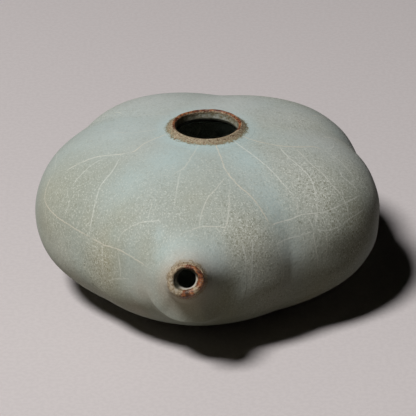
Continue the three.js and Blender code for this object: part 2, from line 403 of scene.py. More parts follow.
CRACKS = [
    (0.9, 0.9, [(-79, 9), (-78.5, 18), (-78, 23.5), (-74, 29.5), (-69, 34.5), (-66.5, 39), (-64.5, 44.5)]),
    (0.45, 0.4, [(-78.5, 26), (-86.5, 30.5), (-90.5, 33.5), (-92.5, 37.5), (-93.5, 42)]),
    (0.5, 0.3, [(-78.5, 30), (-81, 37.5), (-83, 42), (-86, 45)]),
    (0.8, 0.1, [(-50.5, 10), (-51, 18), (-50, 25), (-49.5, 31), (-49, 36), (-48, 39)]),
    (0.4, 0.2, [(-48, 38.5), (-50, 42.5), (-53, 45)]),
    (0.85, 0.1, [
        (-24, 20), (-31.5, 25.5), (-33.5, 31), (-35, 34.5), (-38, 38.5), (-42, 43.5), (-46.5, 48.5),
    ]),
    (0.55, 0.3, [(-46.5, 48), (-47.5, 51.5), (-47, 56.5), (-46.5, 61)]),
    (0.7, 0.3, [(-18.5, 24), (-26, 30), (-27.5, 35), (-29, 39), (-29, 42.5), (-29.5, 45.5), (-31.5, 50)]),
    (0.95, 1.0, [(-28, 9), (-29.5, 15), (-24, 20.5), (-16.5, 25), (-10, 28.5), (-9.5, 31.5)]),
    (0.7, 0.2, [(-9.5, 31), (-11, 35), (-13.5, 38.5), (-15.5, 42.5)]),
    (0.6, 0.1, [(-16.5, 36.5), (-20.5, 39), (-20, 42.5), (-19.5, 46.5)]),
    (0.85, 0.2, [(-19, 46), (-29.5, 45), (-39.5, 45), (-48.5, 44), (-55.5, 44.5), (-65, 44.5)]),
    (0.5, 0.2, [(-64.5, 44), (-67.5, 45), (-70.5, 47)]),
    (0.6, 0.1, [(-19.5, 45.5), (-21, 49), (-26, 49.5), (-32, 49.5), (-35.5, 50), (-41, 50), (-47, 49)]),
    (0.6, 0.1, [(-46, 49), (-53, 49.5), (-59.5, 49.5), (-65, 50)]),
    (0.4, 0.1, [(-46.5, 43), (-47, 46.5), (-46.5, 49.5)]),
    (0.5, 0.4, [(-42.5, 50), (-42.5, 54), (-44, 58), (-46, 61)]),
    (0.6, 0.0, [(-78, 45), (-77, 49), (-76.5, 52), (-77, 55)]),
    (0.75, 0.0, [(-73, 46), (-74, 52.5), (-74.5, 59.5)]),
    (0.45, 0.2, [(-40.5, 39.5), (-35, 40.5), (-30, 42.5)]),
    (0.8, 0.8, [(-163.5, 10.5), (-156, 18), (-151, 22.5), (-151.5, 25)]),
    (0.7, 0.4, [(-151.5, 24), (-155, 26.3), (-158, 28), (-162.5, 31), (-165, 35), (-167, 41)]),
    (0.5, 0.0, [(-152, 27), (-146, 32), (-144, 37.5), (-141, 42), (-139, 46), (-137.5, 51)]),
    (0.4, 0.0, [(-158, 29), (-159, 33), (-157.5, 38.5), (-156, 42)]),
    (0.3, 0.1, [(-153, 44), (-151, 47.5), (-152, 50.5)]),
    (0.8, 0.8, [
        (-172, 43), (-170, 46.5), (-166.5, 49.5), (-162.5, 50.5), (-154.5, 51), (-144, 51.2), (-136, 51.5),
    ]),
    (0.8, 0.7, [(-137, 51.5), (-129.5, 51.5), (-122.5, 51), (-115.5, 52), (-109, 53.5)]),
    (0.35, 0.7, [(177.5, 12), (182, 17.5), (180.5, 21), (174, 27)]),
    (0.35, 0.8, [(132.5, 13), (144, 19.5), (151, 25)]),
    (0.4, 0.5, [(-102.5, 10), (-104, 15.5), (-106, 22), (-109.5, 24.5), (-112, 27)]),
    (0.35, 0.1, [(-108, 23), (-106, 29.5), (-104.5, 37)]),
    (0.25, 0.2, [(-115.5, 34), (-114.5, 38), (-114, 42)]),
    (0.55, 0.5, [(-81, 42.5), (-84, 42), (-92, 41.5), (-97, 42.5), (-101.5, 44), (-104, 46)]),
    (0.4, 0.2, [(-108, 40.5), (-115, 42), (-119.5, 44), (-122.5, 46.5), (-124, 50)]),
    (0.5, 0.1, [(-130.5, 50.5), (-129.5, 55), (-129, 59), (-128, 61.5), (-123, 59.5), (-117, 58)]),
    (0.45, 0.1, [(-123, 51), (-121, 57), (-121.5, 60)]),
    (0.4, 0.4, [(-164, 50), (-160, 57), (-163, 64)]),
    (0.8, 0.8, [(63, 31), (61, 38), (63, 46), (66, 56)]),
    (0.6, 0.3, [(61, 41), (69, 45.5), (78, 47.5), (88, 46), (96, 43)]),
    (0.8, 0.6, [(88, 30), (93, 37), (97, 44), (93, 54), (97, 62)]),
    (0.5, 0.2, [(89, 29), (80, 33), (74, 39), (72, 46)]),
    (0.6, 0.3, [(96, 42), (106, 45), (116, 44), (124, 42), (134, 46)]),
    (0.7, 0.7, [(121, 31), (123, 38), (118, 48), (117, 56)]),
    (0.8, 0.8, [(31, 32), (34, 38), (35, 47), (30, 57)]),
    (0.6, 0.2, [(35, 46), (43, 49), (52, 48.5), (62, 45)]),
    (0.25, 0.6, [(4, 10), (10, 20), (6, 30)]),
    (0.7, 0.6, [(6, 31), (11, 39), (12, 47), (7, 55), (10, 64)]),
    (0.6, 0.2, [(12, 44), (20, 47.5), (28, 47), (35, 43.5)]),
    (0.5, 0.1, [(-9, 31), (-2, 34), (5, 35)]),
    (0.7, 0.3, [(146, 29), (143, 33), (148, 43), (144, 50), (140, 57)]),
    (0.3, 0.2, [(148, 44), (156, 48), (165, 47), (174, 43), (-172, 43)]),
    (0.4, 0.1, [(168, 46), (173, 54), (168, 63)]),
    (0.4, 0.1, [(76, 47), (78, 57), (73, 66)]),
    (0.4, 0.1, [(46, 48.5), (43, 57), (47, 66)]),
    (0.4, 0.2, [(-12, 44), (-5, 47), (-2, 56), (-6, 64)]),
    (0.35, 0.2, [(-64, 50), (-61, 58), (-64, 67)]),
    (0.35, 0.2, [(104, 45), (108, 56), (103, 66)]),
]
CRACK_CHANNELS = 6  # lines that come near each other are kept in different ones
CRACK_REACH = 2.2  # how far from a line its distance is still told
CRACK_CLEAR = 3.6  # lines nearer than this don't share a channel
CRACK_FADE = (0.9, 1.5)  # how far from a line it stops counting as boldly shown
CRACK_TAPER = 2.5  # how far from its ends a line thins out
NO_CRACK = 3.0  # the distance given where no line is near
CRACK_CORE = 0.04  # a line has its full colour as far as this from its middle
CRACK_EDGE = 0.27  # and none of it beyond this


def smooth_curve(points, steps=10):
    """A Catmull-Rom curve through points."""
    points = np.asarray(points, float)
    padded = np.concatenate([[2 * points[0] - points[1]], points, [2 * points[-1] - points[-2]]])
    share = np.linspace(0, 1, steps, endpoint=False)[:, None]
    runs = [
        b + (c - a) * share / 2
        + (a - 2.5 * b + 2 * c - d / 2) * share**2
        + (1.5 * b - a / 2 - 1.5 * c + d / 2) * share**3
        for a, b, c, d in zip(padded, padded[1:], padded[2:], padded[3:])
    ]
    return np.concatenate(runs + [points[-1:]])


def crack_line(path):
    """A crack as points on the skin, and as points on the laid-flat skin."""
    azimuth = np.unwrap(np.radians([place[0] for place in path]))
    way = np.array([place[1] for place in path], float)
    flat = smooth_curve(np.stack([way * np.cos(azimuth), way * np.sin(azimuth)], -1))
    points = skin(np.arctan2(flat[:, 1], flat[:, 0]), np.hypot(flat[:, 0], flat[:, 1]))
    return points, glaze_map(points)[:, :2]


def share_out_channels(lines):
    """Gives each line the first channel that has no line near it."""
    channels = []
    for i, (points, _) in enumerate(lines):
        taken = set()
        for (other, _), channel in zip(lines[:i], channels):
            if np.linalg.norm(points[:, None] - other[None], axis=-1).min() < CRACK_CLEAR:
                taken.add(channel)
        channels.append(min(set(range(CRACK_CHANNELS)) - taken))
    return channels


CRACK_LINES = [crack_line(path) for _, _, path in CRACKS]
CRACK_CHANNEL = share_out_channels(CRACK_LINES)


def distance_to_line(points, flat, line):
    """Signed distance from points to a crack, and how far along it each one lies."""
    curve, curve_flat = line
    start, run = curve[:-1], np.diff(curve, axis=0)
    length = np.linalg.norm(run, axis=-1)
    share = np.einsum("pij,ij->pi", points[:, None] - start[None], run) / length**2
    share[:, 1:-1] = np.clip(share[:, 1:-1], 0, 1)
    share[:, 0] = np.minimum(share[:, 0], 1)
    share[:, -1] = np.maximum(share[:, -1], 0)
    nearest = start[None] + share[..., None] * run[None]
    gap = np.linalg.norm(points[:, None] - nearest, axis=-1)
    segment = gap.argmin(1)
    row = np.arange(len(points))
    along = np.concatenate([[0], np.cumsum(length)])[segment] + share[row, segment] * length[segment]
    flat_run = np.diff(curve_flat, axis=0)[segment]
    offset = flat - curve_flat[:-1][segment]
    side = np.sign(flat_run[:, 0] * offset[:, 1] - flat_run[:, 1] * offset[:, 0])
    return gap[row, segment] * np.where(side < 0, -1, 1), along, length.sum()


def crack_layers(points, flat):
    """For each channel the signed distance to its nearest crack and how boldly that shows."""
    shape = points.shape[:-1]
    points, flat = points.reshape(-1, 3), flat.reshape(-1, 3)[:, :2]
    distance = np.full((CRACK_CHANNELS, len(points)), NO_CRACK)
    shown = np.zeros((CRACK_CHANNELS, len(points)))
    soaked = np.zeros(len(points))
    for (boldness, brown, _), line, channel in zip(CRACKS, CRACK_LINES, CRACK_CHANNEL):
        low, high = line[0].min(0) - CRACK_REACH, line[0].max(0) + CRACK_REACH
        near = np.where(((points > low) & (points < high)).all(1))[0]
        if len(near) == 0:
            continue
        signed, along, length = distance_to_line(points[near], flat[near], line)
        close = np.abs(signed) < CRACK_REACH
        near, signed, along = near[close], signed[close], along[close]
        ends = ease(along, 0, CRACK_TAPER) * ease(length - along, 0, CRACK_TAPER)
        bold = boldness * ends * (1 - ease(np.abs(signed), *CRACK_FADE))
        distance[channel, near] = signed
        shown[channel, near] = bold
        soaked[near] = np.maximum(soaked[near], brown * (bold > 0))
    layers = {"soaked": soaked.reshape(shape)}
    for half in range(CRACK_CHANNELS // 3):
        channels = slice(3 * half, 3 * half + 3)
        layers[f"crack_distance_{half}"] = distance[channels].T.reshape(*shape, 3)
        layers[f"crack_shown_{half}"] = shown[channels].T.reshape(*shape, 3)
    return layers


# Where the glaze ran thick, thin or stained, over the laid-flat skin, with painted shade and sheen among it

MOUTH_POOL = 4.5  # how wide the thick glaze round the collar is
MOUTH_POOL_DEPTH = 0.95
MOUTH_STAIN = 0.9  # how olive the wall inside the mouth is
SPOTS = {  # azimuth, way along the skin, size across the way, stretch along it, depth
    "pool": [  # where it ran thick; on the crown towards the back, partly painted sheen, and the small spot at (-108, 43) is a painted highlight
        (-58, 20, 5.5, 1.8, 0.9), (-59, 33, 5.5, 1.9, 0.95), (-88, 48.5, 5, 1.3, 0.95),
        (-77, 53, 4, 1.5, 0.8), (-57, 49, 4.5, 1.6, 0.8), (-97, 46.5, 10, 0.4, 1),
        (-114, 53, 6, 1.3, 0.75), (-122, 19, 7, 1.4, 0.7), (-132, 31, 6, 1.6, 0.5),
        (-126, 46, 2.5, 1.2, 0.6), (-108, 43, 2, 1.2, 0.7), (168, 27, 13, 1, 0.8),
        (140, 32, 10, 1.2, 0.7), (-140, 57, 6, 1.3, 0.6), (-8, 20, 8, 1.4, 0.5), (60, 26, 8, 1.6, 0.5),
        (83, 44, 5, 2.4, 0.7), (20, 46, 4, 2.4, 0.6), (146, 48, 5, 2, 0.6), (-20, 62, 8, 1.2, 0.4),
    ],
    "pale": [  # where it is thickest and palest; on the crown towards the back, partly painted sheen
        (170, 24, 14, 1, 0.4), (-158, 20, 8, 1, 0.3), (125, 30, 16, 1.2, 0.7), (72, 22, 14, 1.2, 0.8),
        (30, 26, 13, 1.1, 0.6), (0, 32, 12, 1.3, 0.65), (-60, 53, 9, 1, 0.8), (-74, 54, 7, 1.2, 0.75),
        (-86, 50, 6, 1, 0.5), (-58, 29, 7, 1.5, 0.15), (-32, 27, 9, 1, 0.35), (-76, 51, 6, 0.8, 0.4),
        (-150, 62, 10, 0.8, 0.4),
    ],
    "deep": [  # where it is greyer; the strongest, at the right edge (-26, 52), is painted shade
        (-107, 40, 9, 1.3, 0.6), (-126, 40, 9, 1.3, 0.45), (-150, 41, 13, 1.1, 0.5),
        (-26, 52, 9, 1.3, 1), (-139, 34, 8, 1.2, 0.35), (-74, 39, 7, 1.3, 0.3), (-18, 44, 6, 1.2, 0.3),
        (-86, 31, 8, 1.2, 0.15), (75, 36, 12, 1.2, 0.5), (150, 52, 12, 1, 0.5), (20, 55, 9, 1, 0.5),
    ],
    "blush": [  # where it is thin and pinkish beige; the two low at the lower left, (-116, 66) and (-112, 58), are painted light from the floor
        (-116, 66, 6, 1, 0.7), (-112, 58, 6, 1.2, 0.6), (-62, 60, 7, 1, 0.35), (44, 62, 9, 1, 0.5),
        (128, 64, 8, 1, 0.5),
    ],
    "stain": [  # olive patches; the one at the right edge (-26, 51) is partly painted shade
        (-128, 51.5, 5.5, 1.6, 0.95), (-140, 43.5, 3.5, 1.2, 0.4), (-161, 52, 10, 1.2, 0.4),
        (-127, 43, 6, 1.4, 0.35), (-134, 55, 7, 1.2, 0.35), (-113, 48, 4, 1.3, 0.35),
        (-74, 45, 6, 1.1, 0.4), (-26, 51, 8, 1.2, 0.7), (-96, 33, 7, 1.3, 0.25), (-45, 66, 8, 1, 0.7),
        (-88, 60, 9, 0.9, 0.6), (15, 26, 9, 1.2, 0.3), (32, 58, 9, 1.2, 0.6), (108, 54, 8, 1.4, 0.6),
        (165, 60, 8, 1, 0.5), (60, 50, 6, 1.4, 0.4),
    ],
    "crazed": [  # where the fine crackle is close
        (-38, 40, 14, 1.3, 1), (-74, 45, 9, 1.4, 1), (-30, 54, 12, 1, 0.9), (-150, 50, 12, 1, 0.4),
        (-135, 57, 11, 1.2, 0.9), (-147, 62, 10, 1, 0.7), (22, 28, 12, 1.2, 0.45),
        (-66, 57, 10, 1, 0.9), (-110, 40, 10, 1.2, 0.2), (-14, 48, 10, 1.3, 0.9),
        (60, 45, 14, 1.2, 0.8), (140, 45, 14, 1.2, 0.7), (100, 58, 12, 1, 0.7), (10, 50, 12, 1.2, 0.7),
    ],
}


def spread(flat, spots):
    """How much of soft spots reaches each point of the laid-flat skin."""
    total = np.zeros(flat.shape[:-1])
    for azimuth, way, size, stretch, depth in spots:
        turn = radians(azimuth)
        outward = np.array([cos(turn), sin(turn)])
        offset = flat[..., :2] - outward * way
        along = offset @ outward
        across = offset @ np.array([-outward[1], outward[0]])
        total = np.maximum(total, depth * np.exp(-((along / (size * stretch)) ** 2 + (across / size) ** 2)))
    return total


BLUSH_TURN = -120
BLUSH_REACH = 10.0
BLUSH_EXTRA = 3.0  # how much further it reaches at that turn


def spout_blush(points):
    """How much the glaze round the spout blushes, furthest down and to the left of it."""
    radius, turn, height = seen_from_spout(points)
    reach = BLUSH_REACH + BLUSH_EXTRA * ease(np.cos(turn - radians(BLUSH_TURN)), 0.2, 1.0)
    return (1 - ease(radius, NECK_RADIUS - 0.5, reach)) * ease(height, -9.0, -5.0)


def glaze_layers(points, thin=0.0, bare=0.0, cracked=True):
    """What the glaze material reads: the laid-flat map, how thick, stained, crazed or thin it is, and where
    shade and sheen are painted.
    """
    flat = glaze_map(points)
    radius = np.hypot(points[..., 0] - MOUTH_OFFSET, points[..., 1])
    near_mouth = np.exp(-(np.maximum(radius - COLLAR_RADIUS, 0) / MOUTH_POOL) ** 2)
    crown_side = ease(points[..., 2], BELLY_HEIGHT, COLLAR_TOP - 4)
    in_mouth = crown_side * (1 - ease(radius, MOUTH_RADIUS + 0.4, MOUTH_RADIUS + 1.2))
    layers = {"glaze_map": flat}
    layers.update({name: spread(flat, spots) for name, spots in SPOTS.items()})
    layers["pool"] = np.maximum(layers["pool"], MOUTH_POOL_DEPTH * near_mouth * crown_side) * (1 - in_mouth)
    layers["blush"] = np.maximum(layers["blush"], spout_blush(points))
    layers["stain"] = np.maximum(layers["stain"], MOUTH_STAIN * in_mouth)
    layers["thin"], layers["bare"] = (np.broadcast_to(share, radius.shape) for share in (thin, bare))
    if cracked:
        layers.update(crack_layers(points, flat))
    return layers


# Pieces

def turns(count=AROUND):
    """Angles evenly round a circle."""
    return np.linspace(0, 2 * pi, count, endpoint=False)


def wavering(angles, waves):
    """How far a hand-made ring strays from true: waves with an amount, a count round it and a phase."""
    return sum(amount * np.sin(count * angles + phase) for amount, count, phase in waves)


def glazed_solid(name, rows, cracked=True):
    """A solid from rings of points, each with how thin its glaze is and how much shade is painted on it."""
    rings = np.array([ring for ring, _, _ in rows])
    thin = np.array([np.broadcast_to(share, len(ring)) for ring, share, _ in rows])
    bare = np.array([np.broadcast_to(share, len(ring)) for ring, _, share in rows])
    return ring_solid(name, rings, layers=glaze_layers(rings, thin, bare, cracked))


def ways_between(start, end):
    """Ways from start to end, closer together towards both, so that shading runs on across a join."""
    even = np.linspace(start, end, int(round(abs(end - start) / SKIN_STEP)) + 1)
    close = CLOSE_STEPS * np.sign(end - start)
    return np.concatenate([[start], start + close, even[1:-1], (end - close)[::-1], [end]])


def wall_piece(name, start, end):
    """A shell of clay between two ways along the skin, outer skin down and inner skin back."""
    outer_ways = ways_between(start, end)
    inner_ways = np.linspace(end, start, len(outer_ways) // 4)
    outer = skin(turns(), outer_ways[:, None])
    inner, over_inner = (skin(turns(), inner_ways[:, None], inset) for inset in (WALL, 0.0))
    layers = glaze_layers(np.concatenate([outer, over_inner]))
    return ring_solid(name, np.concatenate([outer, inner]), layers=layers)


def port_cutter():
    """The round passage from the water chamber into the spout."""
    rings = [on_spout(BORE_ROOT_RADIUS, turns(PORT_AROUND), height) for height in (2.5 * WALL, -4 * WALL)]
    return ring_solid("port_cutter", rings, closed_loop=False)


def cut(piece, cutter):
    """Takes the cutter out of the piece and removes the cutter."""
    modifier = piece.modifiers.new("port", "BOOLEAN")
    modifier.operation = "DIFFERENCE"
    modifier.solver = "EXACT"
    modifier.object = cutter
    bpy.context.view_layer.update()
    evaluated = piece.evaluated_get(bpy.context.evaluated_depsgraph_get())
    mesh = bpy.data.meshes.new_from_object(evaluated)
    piece.modifiers.clear()
    piece.data = mesh
    bpy.data.objects.remove(cutter)


def upper_wall(material):
    start, end = float(way_at_radius(CROWN_EDGE, 1)), float(way_at_height(SEAM_HEIGHT))
    piece = wall_piece("clay_upper_wall", start, end)
    cut(piece, port_cutter())
    settle(piece, "upper_wall", material)


def lower_wall(material):
    start, end = float(way_at_height(SEAM_HEIGHT)), float(way_at_radius(FOOT_OUTER - 1.0, -1))
    piece = wall_piece("clay_lower_wall", start, end)
    settle(piece, "lower_wall", material)


COLLAR_WAVES = [(0.09, 2, 0.7), (0.06, 5, 2.1), (0.035, 11, 0.0), (0.02, 23, 1.3)]
COLLAR_DEPTH = 4.1  # from the collar's top to the lower edge of the mouth
ROUNDING_RADIUS = 2.2  # the rounded edge under it
ROUNDING_HEIGHT = 1.7
SLOPE_POWER = 0.85  # under 1, the slope outside the crest is hollow
GLAZE_EDGE = 0.07  # the height of the edge of glaze round the collar, and how wide it is
GLAZE_EDGE_WIDTH = 0.45


def collar_band(radius):
    """The height of the collar's band: a narrow rounded crest, and a hollow slope down from it."""
    crest_radius = MOUTH_RADIUS + CREST_HALF
    inside_crest = np.clip(np.abs(radius - crest_radius), 0, CREST_HALF)
    crest = COLLAR_TOP - CREST_HALF + np.sqrt(CREST_HALF**2 - inside_crest**2)
    # The crest ends where it has turned down by about 45 degrees.
    crest_end = crest_radius + 0.7 * CREST_HALF
    crest_end_height = COLLAR_TOP - CREST_HALF * 0.29
    root = form_height(COLLAR_RADIUS, 1) + 0.1
    share = np.clip((radius - crest_end) / (COLLAR_RADIUS - crest_end), 0, 1)
    slope = crest_end_height + (root - crest_end_height) * share**SLOPE_POWER
    past = np.maximum(radius - COLLAR_RADIUS, 0)
    return np.where(radius < crest_end, crest, slope - 3 * past)


def mouth_collar(material):
    """The raised rim of the mouth, with its rounded underside and an apron of the crown's glaze."""
    angles = turns()
    wobble = wavering(angles, COLLAR_WAVES)
    rows = []

    def add(radius, height, wobbling, thin, bare=0.0):
        ring = ring_at(radius + wobbling * wobble, angles, height)
        ring[:, 0] += MOUTH_OFFSET
        rows.append((ring, thin, bare))

    under = COLLAR_TOP - COLLAR_DEPTH
    # The rounded underside of the mouth is painted with full shade.
    for share in np.linspace(0, 1, 12):
        turn = share * pi / 2
        radius = MOUTH_RADIUS + ROUNDING_RADIUS * (1 - sin(turn))
        add(radius, under + ROUNDING_HEIGHT * (1 - cos(turn)), share, 0.0, 1.0)
    wall_low, wall_high = under + ROUNDING_HEIGHT, COLLAR_TOP - CREST_HALF
    # The inner wall is painted with shade towards its lower edge.
    for share in np.linspace(0, 1, 16)[1:-1]:
        height = wall_low + share * (wall_high - wall_low)
        add(MOUTH_RADIUS, height, 1, 0.35 + 0.55 * share**3, 1 - ease(share, -0.3, 0.3))
    burnt = 0.1 + 0.9 * ease(np.sin(angles), -0.85, 0.1)
    for turn in np.linspace(pi, pi / 4, 16):
        radius = MOUTH_RADIUS + CREST_HALF * (1 + cos(turn))
        height = COLLAR_TOP - CREST_HALF * (1 - sin(turn))
        on_top = exp(-(((turn - 0.62 * pi) / (0.26 * pi)) ** 2))
        add(radius, height + RISING_WOBBLE * wobble, 1, 0.9 + 1.25 * on_top * burnt)

    crest_end = MOUTH_RADIUS + CREST_HALF * (1 + cos(pi / 4))
    for radius in np.linspace(crest_end, APRON_RADIUS, 56)[1:]:
        wobbling = 1 - ease(radius, COLLAR_RADIUS - 0.8, COLLAR_RADIUS + 0.8)
        place = ring_at(radius + wobbling * wobble, angles, 0)
        glaze_edge = GLAZE_EDGE * exp(-(((radius - COLLAR_RADIUS - 0.3) / GLAZE_EDGE_WIDTH) ** 2))
        crown = crown_height(place[:, 0] + MOUTH_OFFSET, place[:, 1]) + PROUD + glaze_edge
        band = collar_band(radius) + RISING_WOBBLE * wobble * wobbling
        last = radius > APRON_RADIUS - 0.01
        height = crown - 3 * PROUD if last else smooth_higher(band, crown, COLLAR_FILLET)
        thin = 1.05 * (1 - ease(radius, COLLAR_RADIUS - 1.4, COLLAR_RADIUS + 1.3))
        add(radius, height, wobbling, thin)
    for radius in (APRON_RADIUS - 0.3, MOUTH_RADIUS + ROUNDING_RADIUS + 0.5):
        add(radius, form_height(radius, 1) - 2.0, 0, 0.0)
    settle(glazed_solid("clay_mouth_collar", rows), "mouth_collar", material)


def underside(radius):
    """The cone's lower side, as height along the axis: a hollow flare, and a skirt down from its edge."""
    share = np.clip((radius - NECK_RADIUS) / (CONE_RADIUS - NECK_RADIUS), 0, 1)
    flare = NECK_HEIGHT - (NECK_HEIGHT - CONE_FOOT) * share ** (1 / FLARE_POWER)
    skirt = np.maximum(radius - CONE_RADIUS, 0) / (SKIRT_RADIUS - CONE_RADIUS)
    return flare + skirt * (SKIRT_FOOT - CONE_FOOT)


def off_turn(angles, degrees):
    """How far turns are from one, in radians."""
    return np.abs(np.mod(angles - radians(degrees) + pi, 2 * pi) - pi)


def away(angles, turn, near, far):
    """0 nearer to a turn than near, 1 further from it than far, all three in degrees."""
    return ease(off_turn(angles, turn), radians(near), radians(far))


# Turns about the spout's axis, in degrees from its right
CREASE_TURN = -88  # where the crease under the spout is deepest
MERGED_TURN = 125  # where the cone melts into the body most softly
BEAD_TURN = -128  # where the lip's glaze has gathered in a bead
LIT_TURN = -55  # the side of the bore's mouth that the lamp lights; elsewhere the funnel is painted with shade

BEAD_WIDTH = 0.3  # in radians
BEAD_HEIGHT = 0.15


def crease_form(angles):
    """How much of the crease under the spout is left at each turn, and how far out it runs."""
    below = 1 - away(angles, CREASE_TURN, 2, 86)
    below = below * (1 - ease(np.cos(angles), 0.4, 0.9))
    widening = 1.06 + 0.12 * ease(np.cos(angles), 0.0, 0.8)
    return below, widening


def cone_height(radius, angles):
    """The cone's skin as height along its axis. It melts into the body, with a crease left underneath."""
    radius = np.maximum(radius, NECK_RADIUS)
    below, widening = crease_form(angles)
    softness = (
        1.3
        + 4 * away(angles, CREASE_TURN, 5, 50)
        + 6 * ease(np.cos(angles), 0.2, 0.85)
        + 4 * ease(-np.cos(angles), 0.35, 0.8)
    )
    merged = 1 - away(angles, MERGED_TURN, 50, 100)
    neck_swell = NECK_HEIGHT - body_height_on_spout(NECK_RADIUS, angles)
    body = body_height_on_spout(radius, angles) + PROUD
    reach = np.clip((radius - NECK_RADIUS) / (SPOUT_REACH - NECK_RADIUS), 0, 1)
    beside = body + neck_swell * (1 - reach) ** SWELL_POWER
    under = smooth_higher(underside(radius / widening), body, softness)
    fillet = (0.9 + 0.7 * merged) * np.exp((NECK_RADIUS - radius) / (0.55 + 0.35 * merged))
    return beside + (under - beside) * below + fillet


def spout_cone(material):
    """The cone of the drip spout, hollow, with its edge sunk a little into the body's skin."""
    angles = turns(SMALL_AROUND)
    below, widening = crease_form(angles)
    edge = SPOUT_REACH + (SKIRT_RADIUS * widening + 0.5 - SPOUT_REACH) * below
    rows = []
    for share in np.linspace(0, 1, 100):
        radius = NECK_RADIUS + (edge - NECK_RADIUS) * share
        if share < 1:
            height = cone_height(radius, angles)
        else:
            height = body_height_on_spout(radius, angles) - 2 * PROUD
        rows.append((bent_up(on_spout(radius, angles, height), height), 0.0, 0.0))
    # The hidden underside and the bore inside the cone are painted with full shade.
    for radius in (edge - 0.4, BORE_ROOT_RADIUS):
        rows.append((on_spout(radius, angles, body_height_on_spout(radius, angles) - 1.2), 0.0, 1.0))
    for share in np.linspace(0, 1, 12)[1:]:
        radius = BORE_ROOT_RADIUS + (BORE_RADIUS - BORE_ROOT_RADIUS) * share
        height = share * NECK_HEIGHT
        rows.append((bent_up(on_spout(radius, angles, height), height), 0.0, 1.0))
    settle(glazed_solid("clay_spout_cone", rows), "spout_cone", material)


LIP_BROWN = [  # turn about the spout in degrees, and how thin and burnt the lip's glaze is there; the dip at -130, on the bead, is partly a painted highlight
    (-180, 0.75), (-130, 0.6), (-110, 1.3), (-85, 2.9), (-65, 2.3), (-45, 1.2),
    (-15, 1.9), (45, 1.9), (80, 1.8), (110, 1.45), (150, 0.95),
]
LIP_WAVES = [(0.08, 2, 0.4), (0.07, 3, 2.0), (0.05, 7, 1.0), (0.03, 13, 2.5)]


def spout_lip(material):
    """The lip of the spout: a funnel into the bore, a rolled rim and an apron on the cone."""
    angles = turns(LIP_AROUND)
    wobble = wavering(angles, LIP_WAVES)
    bead = np.exp(-((off_turn(angles, BEAD_TURN) / BEAD_WIDTH) ** 2))
    uneven = RISING_WOBBLE * wobble + BEAD_HEIGHT * bead
    brown_turns, brown_amounts = zip(*LIP_BROWN)
    brown = np.interp(np.degrees(angles), brown_turns, brown_amounts, period=360)
    unlit = away(angles, LIT_TURN, 55, 85)
    middle = (LIP_MOUTH_RADIUS + LIP_RADIUS) / 2
    half = (LIP_RADIUS - LIP_MOUTH_RADIUS) / 2
    shift = LIP_SHIFT[0] * SPOUT_SIDE + LIP_SHIFT[1] * SPOUT_UP
    rows = []

    def flat_place(radius, amount):
        """Where a ring of the lip lies across the axis, before it is given its height."""
        narrowed = radius * (1 - LIP_FLATNESS * amount * np.sin(angles) ** 2) + amount * wobble
        moved = 0.3 + 0.7 * ease(radius, LIP_MOUTH_RADIUS, LIP_RADIUS)
        return on_spout(narrowed, angles, 0.0) + amount * moved * shift

    def add(place, height, thin, bare=0.0):
        height = np.broadcast_to(height, angles.shape)
        rows.append((bent_up(place + height[:, None] * SPOUT_AXIS, height), thin, bare))

    funnel = [
        (BORE_RADIUS, NECK_HEIGHT - 0.4),
        (BORE_RADIUS, NECK_HEIGHT + 0.2),
        (BORE_RADIUS + 0.08, NECK_HEIGHT + 0.7),
        (BORE_RADIUS + 0.3, NECK_HEIGHT + 1.15),
        (LIP_MOUTH_RADIUS - 0.08, SPOUT_LENGTH - half - 0.1),
    ]
    for turn in np.linspace(0.94 * pi, 0.5 * pi, 14):
        funnel.append((middle + half * cos(turn), SPOUT_LENGTH - half + half * sin(turn)))
    for radius, height in funnel:
        rim = ease(radius, BORE_RADIUS, LIP_MOUTH_RADIUS + 0.2)
        crest = ease(height, SPOUT_LENGTH - 1.0, SPOUT_LENGTH)
        outside_bore = ease(radius, LIP_MOUTH_RADIUS - 0.3, LIP_MOUTH_RADIUS)
        # Painted shade on the funnel's inner wall, on the side that the lamp doesn't reach
        dark = 1 - ease(radius, LIP_MOUTH_RADIUS, LIP_MOUTH_RADIUS + 0.5)
        add(flat_place(radius, rim), height + crest * uneven, brown * outside_bore, dark * unlit)
    for radius in np.linspace(middle, LIP_APRON, 46)[1:]:
        place = flat_place(radius, 1 - ease(radius, LIP_RADIUS + 0.2, LIP_APRON))
        from_axis, turn, _ = seen_from_spout(place)
        cone = cone_height(from_axis, turn) + PROUD
        roll = SPOUT_LENGTH - half + sqrt(max(half**2 - (radius - middle) ** 2, 0))
        roll -= 3 * max(radius - LIP_RADIUS, 0)
        last = radius > LIP_APRON - 0.01
        height = cone - 4 * PROUD if last else smooth_higher(roll + uneven, cone, LIP_FILLET)
        add(place, height, brown * (1 - ease(radius, LIP_RADIUS - 0.2, LIP_RADIUS + 1.2)))
    under_edge = LIP_APRON - 0.5
    add(on_spout(under_edge, angles, 0.0), cone_height(under_edge, angles) - 0.9, 0.0)
    add(on_spout(NECK_RADIUS - 0.6, angles, 0.0), NECK_HEIGHT - 0.6, 0.0)
    piece = glazed_solid("clay_spout_lip", rows, cracked=False)
    settle(piece, "spout_lip", material)


FOOT_WAVES = [(0.12, 2, 1.0), (0.08, 5, 0.0)]
FOOT_BEVEL = 0.6


def foot_ring(material):
    angles = turns(SMALL_AROUND)
    wobble = wavering(angles, FOOT_WAVES)
    edge = 0.3 * FOOT_BEVEL
    profile = [  # radius, height, how much of the wobble it has
        (FOOT_OUTER - 0.1, FOOT_HEIGHT, 0),
        (FOOT_OUTER, FOOT_BEVEL, 1),
        (FOOT_OUTER - edge, edge, 1),
        (FOOT_OUTER - FOOT_BEVEL, 0.0, 1),
        (FOOT_INNER + FOOT_BEVEL, 0.0, 1),
        (FOOT_INNER + edge, edge, 1),
        (FOOT_INNER, FOOT_BEVEL, 1),
        (FOOT_INNER, FOOT_HEIGHT, 0),
    ]
    rings = [ring_at(radius + wobble * amount, angles, z) for radius, z, amount in profile]
    settle(ring_solid("clay_foot_ring", rings), "foot_ring", material)


